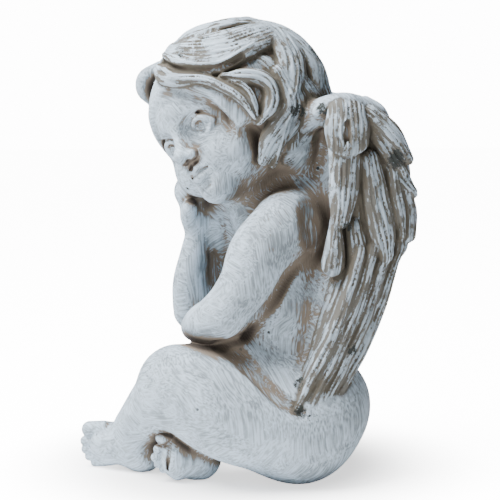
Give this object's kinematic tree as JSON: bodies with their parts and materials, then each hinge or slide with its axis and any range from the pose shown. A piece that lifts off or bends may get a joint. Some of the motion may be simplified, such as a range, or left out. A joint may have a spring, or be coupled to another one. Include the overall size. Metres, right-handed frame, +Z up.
{
  "type": "cherub figurine",
  "caption": "Seated child angel with crossed legs, folded wings and its cheek resting on one hand, cast as one piece.",
  "frame": {"origin": "middle of the figure's box, on the plane it sits on", "axes": "+Z up, the figure faces -Y and its left side is +X"},
  "size_m": [0.1226, 0.1506, 0.21],
  "materials": {
    "whitewashed_casting": "matt whitewash brushed over a taupe casting, brown in the recesses, with dark chips"
  },
  "bodies": {
    "root": {"cherub": "whitewashed_casting"}
  },
  "joints": []
}
